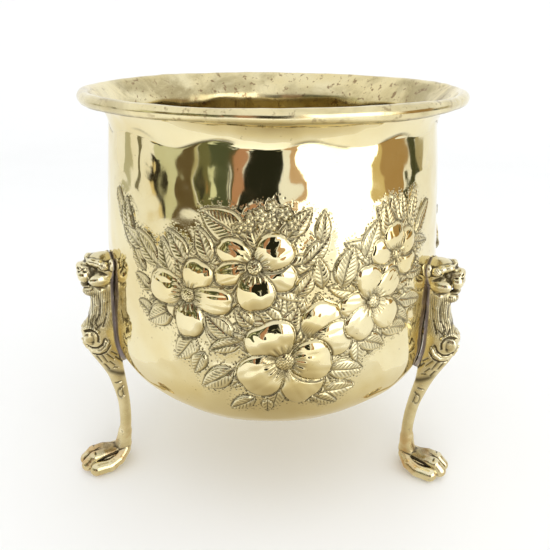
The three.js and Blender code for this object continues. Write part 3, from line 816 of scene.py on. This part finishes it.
def engrave_leg(points):
    """How far each point sinks along its normal, and how dark it is there, with painted shade in the eyes,
    the mouth and the engraved lines.
    """
    x, y, z = points.T
    flank_side = smooth(np.abs(y), 1.0, 3.5)
    mane = smooth(z, 116, 124) * (1 - smooth(z, 147, 151)) * smooth(144 - x, 0, 3)
    hair = 0.5 + 0.5 * np.sin(2 * math.pi * (x + 0.2 * (z - 135) + 0.8 * np.sin(z / 5)) / HAIR_PITCH)
    hatched_ear = patch(x, z, EAR) * flank_side * smooth(np.sin((x + z) * 3.6), 0.1, 0.8)
    depth = thigh_marks(x, z) * flank_side + HAIR_CUT * mane * hair + EAR_CUT * hatched_ear

    instep = patch(x, z, INSTEP) * (1 - smooth(np.abs(y), 6, 9))
    pitted = instep * smooth(np.sin(x * 5.1) * np.sin(y * 5.3 + 1) * np.sin(z * 4.7), 0.1, 0.6)
    cuff = hump(z - 81.5 - 0.6 * (x - 124), 2.2) * (1 - smooth(x, 129, 135)) * flank_side
    # painted shade in the eye hollows and the mouth
    face = np.maximum(patch(x, z, EYE, slope=0.35) * flank_side, patch(x, z, MOUTH))
    # the engraved lines and the mane's strokes are darkened: grime with painted shade
    dark = 1.4 * np.maximum(depth, 0.75 * face)
    dark = dark + 0.6 * pitted + 0.5 * instep + 0.9 * cuff + 0.5 * mane * hair**2
    return depth + PIT_CUT * pitted, np.clip(dark, 0, 1)


def point_normals(points, faces):
    scratch = bpy.data.meshes.new("scratch")
    scratch.from_pydata(points.tolist(), [], faces)
    normals = np.empty(len(points) * 3)
    scratch.vertices.foreach_get("normal", normals)
    bpy.data.meshes.remove(scratch)
    return normals.reshape(-1, 3)


def place_leg(points, azimuth, toe_out):
    """Turns the leg to its place round the bowl, with its shank bent out by toe_out at the foot."""
    r = points[:, 0] + toe_out * np.clip(1 - points[:, 2] / SHANK_TOP, 0, None)
    side = points[:, 1]
    turn = math.radians(azimuth)
    out = (math.sin(turn), -math.cos(turn))
    return np.stack([r * out[0] - side * out[1], r * out[1] + side * out[0], points[:, 2]], axis=1)


def build_legs():
    clay = sculpt_leg()
    points, faces = clay.surface()
    normals = point_normals(points, faces)
    if np.sum(normals * (points - LEG_MIDDLE), axis=1).mean() < 0:  # the faces look inwards
        faces = [face[::-1] for face in faces]
        normals = -normals
    # hollow: the concave places, painted with shade in the leg's material; ridge: the convex places, which
    # show wear
    blurred = box_blur(clay.field, round(HOLLOW_RADIUS / VOXEL), CLAY_ENDS)
    hollow = HOLLOW_GAIN * clay.sample(clay.field - blurred, points)
    sink, dark = engrave_leg(points)
    # the sole and the face against the bowl stay plain
    sink = sink * smooth(points[:, 2], 0.05, 0.9) * smooth(bowl_distance(*points.T), 0.35, 1.2)
    points = points - normals * sink[:, None]
    # back marks the strip against the bowl, painted with dust and the gap's shade; it narrows at the head
    from_bowl = bowl_distance(*points.T) + 1.6 * smooth(points[:, 2], 152, 164)
    attributes = {
        "grime": dark,
        "hollow": np.clip(hollow, 0, 1),
        "ridge": np.clip(-hollow, 0, 1),
        "back": 1 - smooth(from_bowl, 2.4, 3.6),
    }
    return [(name, mesh_object(name + "_cast", place_leg(points, *stance), faces, attributes))
            for name, stance in LEGS.items()]


# ---- materials ----
class Shader:
    """Small wrapper for building a node tree."""

    def __init__(self, name):
        self.material = bpy.data.materials.new(name)
        self.material.use_nodes = True
        self.tree = self.material.node_tree
        self.tree.nodes.clear()
        self.output = self.add("ShaderNodeOutputMaterial")
        self.surface = self.add("ShaderNodeBsdfPrincipled")
        self.link(self.surface.outputs[0], self.output.inputs[0])
        self.where = self.add("ShaderNodeTexCoord").outputs["Object"]

    def add(self, kind, **settings):
        node = self.tree.nodes.new(kind)
        for key, value in settings.items():
            setattr(node, key, value)
        return node

    def link(self, source, target):
        self.tree.links.new(source, target)

    def noise(self, scale, detail=4.0, roughness=0.55, distortion=0.0):
        node = self.add("ShaderNodeTexNoise")
        node.inputs["Scale"].default_value = scale
        node.inputs["Detail"].default_value = detail
        node.inputs["Roughness"].default_value = roughness
        node.inputs["Distortion"].default_value = distortion
        self.link(self.where, node.inputs["Vector"])
        return node.outputs["Fac"]

    def cells(self, scale):
        node = self.add("ShaderNodeTexVoronoi")
        node.inputs["Scale"].default_value = scale
        self.link(self.where, node.inputs["Vector"])
        return node.outputs["Distance"]

    def height(self):
        node = self.add("ShaderNodeSeparateXYZ")
        self.link(self.where, node.inputs[0])
        return node.outputs["Z"]

    def attribute(self, name):
        return self.add("ShaderNodeAttribute", attribute_name=name).outputs["Fac"]

    def ramp(self, value, low, high, start=0.0, end=1.0):
        node = self.add("ShaderNodeMapRange", interpolation_type="SMOOTHSTEP")
        node.inputs["From Min"].default_value = low
        node.inputs["From Max"].default_value = high
        node.inputs["To Min"].default_value = start
        node.inputs["To Max"].default_value = end
        self.link(value, node.inputs["Value"])
        return node.outputs[0]

    def math(self, operation, a, b):
        node = self.add("ShaderNodeMath", operation=operation)
        for socket, value in zip(node.inputs, (a, b)):
            if isinstance(value, (int, float)):
                socket.default_value = value
            else:
                self.link(value, socket)
        return node.outputs[0]

    def times(self, a, b):
        return self.math("MULTIPLY", a, b)

    def mix(self, factor, a, b):
        node = self.add("ShaderNodeMix", data_type="RGBA")
        self.link(factor, node.inputs[0])
        for socket, value in ((node.inputs[6], a), (node.inputs[7], b)):
            if isinstance(value, tuple):
                socket.default_value = (*value, 1)
            else:
                self.link(value, socket)
        return node.outputs[2]

    def bump(self, height, strength, distance):
        node = self.add("ShaderNodeBump")
        node.inputs["Strength"].default_value = strength
        node.inputs["Distance"].default_value = distance
        self.link(height, node.inputs["Height"])
        self.link(node.outputs[0], self.surface.inputs["Normal"])


PALE_BRASS = (0.86, 0.765, 0.475)
DEEP_BRASS = (0.80, 0.675, 0.36)
CLOUDED_BRASS = (0.38, 0.31, 0.15)
TARNISH = (0.27, 0.175, 0.085)
# the dark of grooves, hollows and gaps: grime with painted shade
SOOT_AND_SHADE = (0.055, 0.042, 0.022)
CAST_PALE = (0.85, 0.76, 0.50)
CAST_DEEP = (0.66, 0.56, 0.30)
CAST_WORN = (0.90, 0.82, 0.56)
CAST_ROSY = (0.62, 0.36, 0.12)
# the dark of the leg's engraving and hollows: grime with painted shade
CAST_SOOT_AND_SHADE = (0.060, 0.045, 0.024)
# the strip against the bowl: caked dust with painted shade of the gap
DUST_AND_GAP_SHADE = (0.20, 0.165, 0.165)


def bowl_material():
    sh = Shader("polished_brass")
    inner = sh.attribute("inside")
    colour = sh.mix(sh.ramp(sh.noise(22, 5), 0.35, 0.7), PALE_BRASS, DEEP_BRASS)
    cloud = sh.times(sh.ramp(sh.noise(20, 5, 0.6, 0.8), 0.38, 0.64), inner)
    colour = sh.mix(sh.times(cloud, 0.85), colour, CLOUDED_BRASS)
    spots = sh.ramp(sh.noise(210, 3, 0.6), 0.575, 0.65)
    blotch = sh.times(sh.times(spots, sh.ramp(sh.noise(24, 3), 0.36, 0.56)), inner)
    colour = sh.mix(sh.times(blotch, 0.85), colour, TARNISH)
    specks = sh.ramp(sh.noise(420, 3, 0.5), 0.70, 0.76)
    colour = sh.mix(sh.times(specks, 0.55), colour, TARNISH)
    punched = sh.times(sh.ramp(sh.cells(520), 0.22, 0.46, 1.0, 0.0), sh.attribute("matting"))
    punched = sh.times(punched, sh.ramp(sh.noise(80, 3), 0.30, 0.46))
    # grime with painted shade from the grooves and ground, and painted shade in the punched dots, go to the
    # dark colour
    grime = sh.times(sh.attribute("grime"), sh.ramp(sh.noise(150, 4), 0.25, 0.6, 0.6, 1.0))
    dirt_and_shade = sh.math("MAXIMUM", grime, sh.times(punched, 0.9))
    colour = sh.mix(sh.times(dirt_and_shade, 0.95), colour, SOOT_AND_SHADE)
    sh.link(colour, sh.surface.inputs["Base Color"])
    sh.surface.inputs["Metallic"].default_value = 1.0
    rough = sh.ramp(sh.noise(35, 5), 0.3, 0.75, 0.04, 0.10)
    rough = sh.math("ADD", rough, sh.times(dirt_and_shade, 0.35))
    rough = sh.math("ADD", rough, sh.times(inner, 0.16))
    sh.link(rough, sh.surface.inputs["Roughness"])
    sh.bump(sh.math("SUBTRACT", sh.times(sh.noise(260, 3), 0.05), punched), 0.35, 0.0006)
    return sh.material


def leg_material():
    sh = Shader("cast_brass")
    back = sh.attribute("back")
    colour = sh.mix(sh.ramp(sh.noise(70, 5), 0.3, 0.7), CAST_PALE, CAST_DEEP)
    colour = sh.mix(sh.times(sh.attribute("ridge"), 0.8), colour, CAST_WORN)
    rosy = sh.times(sh.ramp(sh.height(), 0.045, 0.012), sh.ramp(sh.noise(55, 4), 0.4, 0.62))
    colour = sh.mix(sh.times(rosy, 0.75), colour, CAST_ROSY)
    pits = sh.ramp(sh.noise(330, 4, 0.6), 0.64, 0.72)
    # grime with painted shade from the engraving and the face, and painted shade in the hollows
    dirt_and_shade = sh.math("MAXIMUM", sh.attribute("grime"), sh.times(sh.attribute("hollow"), 1.9))
    dirt_and_shade = sh.math("MINIMUM", sh.math("MAXIMUM", dirt_and_shade, sh.times(pits, 0.5)), 1.0)
    colour = sh.mix(sh.times(dirt_and_shade, 0.92), colour, CAST_SOOT_AND_SHADE)
    # the strip against the bowl: caked dust with painted shade of the gap between leg and bowl
    dust_and_gap_shade = sh.times(back, sh.ramp(sh.noise(140, 4), 0.25, 0.5, 0.6, 1.0))
    colour = sh.mix(dust_and_gap_shade, colour, DUST_AND_GAP_SHADE)
    sh.link(colour, sh.surface.inputs["Base Color"])
    sh.link(sh.math("SUBTRACT", 1.0, sh.times(dust_and_gap_shade, 0.85)), sh.surface.inputs["Metallic"])
    rough = sh.ramp(sh.noise(90, 4), 0.3, 0.7, 0.12, 0.24)
    rough = sh.math("ADD", rough, sh.times(dirt_and_shade, 0.3))
    rough = sh.math("ADD", rough, sh.times(back, 0.35))
    sh.link(rough, sh.surface.inputs["Roughness"])
    sh.bump(sh.math("SUBTRACT", sh.noise(420, 5, 0.6), sh.times(pits, 0.7)), 0.35, 0.0004)
    return sh.material


def metal_material(name, light, dark, roughness):
    """Plain worked metal for the wire and the fixings."""
    sh = Shader(name)
    colour = sh.mix(sh.ramp(sh.noise(180, 5), 0.35, 0.68), light, dark)
    stain = sh.ramp(sh.noise(600, 4, 0.6), 0.58, 0.7)
    colour = sh.mix(sh.times(stain, 0.6), colour, tuple(0.25 * c for c in dark))
    sh.link(colour, sh.surface.inputs["Base Color"])
    sh.surface.inputs["Metallic"].default_value = 1.0
    sh.link(sh.ramp(sh.noise(240, 4), 0.3, 0.7, roughness, roughness + 0.18), sh.surface.inputs["Roughness"])
    sh.bump(sh.noise(900, 4), 0.25, 0.0002)
    return sh.material


def matte_material(name, colour, variation):
    sh = Shader(name)
    shade = tuple(c * (1 - variation) for c in colour)
    sh.link(sh.mix(sh.ramp(sh.noise(3, 4), 0.3, 0.7), colour, shade), sh.surface.inputs["Base Color"])
    sh.surface.inputs["Roughness"].default_value = 0.85
    sh.surface.inputs["Specular IOR Level"].default_value = 0.2
    return sh.material


# ---- studio ----
FLOOR_NEAR, FLOOR_FAR, FLOOR_SIDE = -1.0, 1.1, 1.7
SWEEP_RADIUS = 0.5
SWEEP_HEIGHT = 2.2
CARD_EYE_Z = 0.2  # the height that the cards' elevations are measured from
CARD_STEPS = 6  # points along each side of a card's outline


def build_floor():
    """White table with a paper sweep rising behind the pot."""
    profile = [(y, 0.0) for y in np.linspace(FLOOR_NEAR, FLOOR_FAR, 12)]
    for angle in np.linspace(0, math.pi / 2, 14)[1:]:
        profile.append((FLOOR_FAR + SWEEP_RADIUS * math.sin(angle), SWEEP_RADIUS * (1 - math.cos(angle))))
    profile.append((FLOOR_FAR + SWEEP_RADIUS, SWEEP_HEIGHT))
    vertices = [(x, y, z) for y, z in profile for x in (-FLOOR_SIDE, FLOOR_SIDE)]
    faces = [(i, i + 1, i + 3, i + 2) for i in range(0, len(vertices) - 2, 2)]
    mesh = bpy.data.meshes.new("floor")
    mesh.from_pydata(vertices, [], faces)
    mesh.polygons.foreach_set("use_smooth", [True] * len(faces))
    floor = bpy.data.objects.new("floor", mesh)
    bpy.context.collection.objects.link(floor)
    mesh.materials.append(matte_material("white_paper", (0.93, 0.93, 0.925), 0.015))


def between(ends, t):
    return ends[0] + (ends[1] - ends[0]) * t


def card(name, azimuths, elevations, colour, distance, ragged, strength=1.0):
    """A glowing card seen only in reflections, facing the pot. Azimuth 0 is the front."""
    centre = np.array([AXIS_X, AXIS_Y, CARD_EYE_Z])
    steps = np.linspace(0, 1, CARD_STEPS + 1)
    up, down = steps[:-1], steps[:0:-1]
    outline = [(t, 0) for t in up] + [(1, t) for t in up] + [(t, 1) for t in down] + [(0, t) for t in down]
    corners = []
    for across, rise in outline:
        a = math.radians(between(azimuths, across) + rng.uniform(-ragged, ragged))
        e = math.radians(between(elevations, rise) + 0.5 * rng.uniform(-ragged, ragged))
        ray = np.array([math.sin(a) * math.cos(e), -math.cos(a) * math.cos(e), math.sin(e)])
        corners.append(tuple(centre + distance * ray))
    mesh = bpy.data.meshes.new(name)
    mesh.from_pydata(corners, [], [tuple(range(len(corners)))])
    glowing(mesh, name, colour, strength)


def glowing(mesh, name, colour, strength):
    """Shows the mesh in reflections only, and gives back its glow and the nodes round it."""
    obj = bpy.data.objects.new(name, mesh)
    bpy.context.collection.objects.link(obj)
    material = bpy.data.materials.new(name)
    material.use_nodes = True
    nodes = material.node_tree.nodes
    nodes.clear()
    glow = nodes.new("ShaderNodeEmission")
    glow.inputs["Color"].default_value = (*colour, 1)
    glow.inputs["Strength"].default_value = strength
    material.node_tree.links.new(glow.outputs[0], nodes.new("ShaderNodeOutputMaterial").inputs[0])
    mesh.materials.append(material)
    obj.visible_camera = False
    obj.visible_shadow = False
    obj.visible_diffuse = False
    return material.node_tree, glow


# What the polished metal mirrors: azimuths and elevations seen from the pot, colour, distance,
# how ragged the outline is, and the strength where it isn't 1.
CARDS = [
    ("window", (17, 66), (-13, 30), (1.0, 0.99, 0.97), 2.6, 2.0, 2.6),
    ("window_frame", (13.5, 18), (-12, 24), (0.62, 0.42, 0.26), 2.5, 1.2),
    ("window_shade", (40, 60), (-13, -6), (0.93, 0.86, 0.66), 2.5, 2.0),
    ("doorway", (-13, 10), (-13, 24), (0.021, 0.022, 0.014), 2.5, 1.0),
    ("doorway_top", (2, 11), (-4, -1.5), (0.45, 0.45, 0.35), 2.4, 1.0),
    ("curtain", (-22.5, -14), (-12, 22), (0.50, 0.27, 0.17), 2.5, 1.2),
    ("curtain_edge", (-25, -22.5), (-13, 22), (0.10, 0.09, 0.045), 2.5, 0.6),
    ("greenery", (-38, -25), (-13, 22), (0.085, 0.10, 0.055), 2.6, 1.5),
    ("white_flower", (-30, -27.5), (-4, 2), (0.95, 0.95, 0.88), 2.5, 1.6),
    ("pale_leaf", (-39, -34), (-3, 3.5), (0.75, 0.80, 0.58), 2.5, 1.8),
    ("brown_vase", (-44, -39), (-13, 0), (0.33, 0.21, 0.09), 2.5, 1.5),
    ("olive_wall", (-50, -38), (-13, 22), (0.16, 0.16, 0.075), 2.6, 1.0),
    ("dark_jug", (-48, -45), (-6, 3), (0.05, 0.05, 0.03), 2.5, 1.0),
    ("pale_strip", (-53, -50.5), (-12, 20), (0.50, 0.47, 0.28), 2.5, 0.8),
    ("brown_shelf", (-63, -52), (-13, 20), (0.13, 0.095, 0.045), 2.6, 1.0),
    ("grey_wall", (-78, -62), (-12, 18), (0.66, 0.68, 0.52), 2.7, 1.5),
    ("dark_lamp", (-84, -73), (-7, 0.5), (0.035, 0.03, 0.02), 2.5, 2.0),
    ("pale_lamp", (-84, -78), (-8, -3), (0.80, 0.68, 0.40), 2.4, 2.0),
    ("grey_post", (-98, -93), (-12, 8), (0.20, 0.19, 0.13), 2.6, 1.5),
    ("far_grey", (-116, -106), (-14, 4), (0.55, 0.55, 0.45), 2.6, 2.0),
    ("cupboard", (70, 98), (-13, 16), (0.44, 0.29, 0.13), 2.6, 2.0),
    ("cupboard_light", (66, 74), (-10, 3), (0.70, 0.55, 0.27), 2.5, 2.0),
    ("dark_plant", (98, 107), (-10, 4), (0.07, 0.075, 0.04), 2.6, 2.5),
    ("far_shelf", (107, 114), (-12, 8), (0.45, 0.40, 0.26), 2.6, 2.0),
]
# The table's edge as dark lines: azimuths and elevation.
EDGE_LINES = [(-110, -72, -15.5), (-72, -30, -15), (-26, 14, -15.5), (60, 104, -15)]
EDGE_THICK = 1.2  # degrees
EDGE_COLOUR = (0.16, 0.12, 0.06)

SHADE_FORWARD = 0.14  # how far in front of the pot the shade's middle lies
SHADE_HALF = (0.26, 0.42)
SHADE_Z = 0.0015
SHADE_SIDES = 48
SHADE_COLOURS = [(0.0, (0.46, 0.385, 0.25)), (0.55, (0.78, 0.72, 0.57)), (1.0, (0.95, 0.94, 0.91))]


def build_table_shade():
    """The table in front of the pot as the metal mirrors it: shaded by pot and onlooker, warm and dim."""
    x, y = AXIS_X, AXIS_Y - SHADE_FORWARD
    ring = [(x + SHADE_HALF[0] * math.cos(a), y + SHADE_HALF[1] * math.sin(a), SHADE_Z)
            for a in np.linspace(0, 2 * math.pi, SHADE_SIDES, endpoint=False)]
    faces = [(0, i + 1, (i + 1) % SHADE_SIDES + 1) for i in range(SHADE_SIDES)]
    mesh = bpy.data.meshes.new("table_shade")
    mesh.from_pydata([(x, y, SHADE_Z)] + ring, [], faces)
    edge = mesh.attributes.new("edge", "FLOAT", "POINT")
    edge.data.foreach_set("value", [0.0] + [1.0] * SHADE_SIDES)
    tree, glow = glowing(mesh, "table_shade", (1, 1, 1), 1.0)
    reach = tree.nodes.new("ShaderNodeAttribute")
    reach.attribute_name = "edge"
    ramp = tree.nodes.new("ShaderNodeValToRGB")
    ramp.color_ramp.elements.new(SHADE_COLOURS[1][0])
    for stop, (place, colour) in zip(ramp.color_ramp.elements, SHADE_COLOURS):
        stop.position, stop.color = place, (*colour, 1)
    tree.links.new(reach.outputs["Fac"], ramp.inputs["Fac"])
    tree.links.new(ramp.outputs["Color"], glow.inputs["Color"])


def build_lights():
    world = bpy.data.worlds.new("room")
    bpy.context.scene.world = world
    world.use_nodes = True
    background = world.node_tree.nodes["Background"]
    background.inputs["Color"].default_value = (0.98, 0.99, 1.0, 1)
    background.inputs["Strength"].default_value = 1.0
    area_light("overhead", place=(0.3, -0.2, 2.1), target=(0, 0, 0), size=(2.2, 1.6), energy=6)
    area_light("front_fill", place=(0.0, -1.5, 0.4), target=(0, 0.1, 0.0), size=(1.4, 0.5), energy=8)
    build_table_shade()
    for row in CARDS:
        card(*row)
    for index, (left, right, level) in enumerate(EDGE_LINES):
        card(f"table_edge_{index}", (left, right), (level, level + EDGE_THICK), EDGE_COLOUR, 2.5, 1.0)


def area_light(name, place, target, size, energy):
    lamp = bpy.data.lights.new(name, "AREA")
    lamp.shape = "RECTANGLE"
    lamp.size, lamp.size_y = size
    lamp.energy = energy
    obj = bpy.data.objects.new(name, lamp)
    obj.location = place
    aim = Vector(target) - Vector(place)
    obj.rotation_euler = aim.to_track_quat("-Z", "Y").to_euler()
    obj.visible_glossy = False
    bpy.context.collection.objects.link(obj)


# The photo's camera, as fitted to the rim, the outline and the feet.
SENSOR_WIDTH = 36
FOCAL_LENGTH = SENSOR_WIDTH * 12 / 11
SIDE_SHIFT = 0.0058182  # of the picture's width
CAMERA_BACK, CAMERA_Z = 0.4325, 0.3172
CAMERA_TILT, CAMERA_ROLL = math.radians(22.6), math.radians(0.35)


def build_camera():
    data = bpy.data.cameras.new("camera")
    data.sensor_width = SENSOR_WIDTH
    data.lens = FOCAL_LENGTH
    data.shift_x = SIDE_SHIFT
    data.clip_start = 0.01
    camera = bpy.data.objects.new("camera", data)
    place = Matrix.Translation((AXIS_X, AXIS_Y - CAMERA_BACK, CAMERA_Z))
    tilt = Matrix.Rotation(math.pi / 2 - CAMERA_TILT, 4, "X")
    camera.matrix_world = place @ tilt @ Matrix.Rotation(CAMERA_ROLL, 4, "Z")
    bpy.context.collection.objects.link(camera)
    bpy.context.scene.camera = camera


# ---- put together ----
bowl = build_bowl()
bowl.data.materials.append(bowl_material())
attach(bowl, "root")
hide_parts("bowl_shell")

cast = leg_material()
for node, leg in build_legs():
    leg.data.materials.append(cast)
    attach(leg, "root")
    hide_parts(node)

wire_metal = metal_material("wire_steel", (0.42, 0.41, 0.40), (0.22, 0.21, 0.20), 0.35)
fixing_metal = metal_material("dull_brass", (0.55, 0.43, 0.20), (0.36, 0.26, 0.11), 0.32)
dressings = {"rim": wire_metal, "screw": fixing_metal, "washer": fixing_metal}
for name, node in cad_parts.items():
    metal = dressings.get(name.split("_")[0])
    if metal:
        node.data.materials.clear()
        node.data.materials.append(metal)

build_floor()
build_lights()
build_camera()
bpy.context.scene.view_settings.view_transform = "Standard"
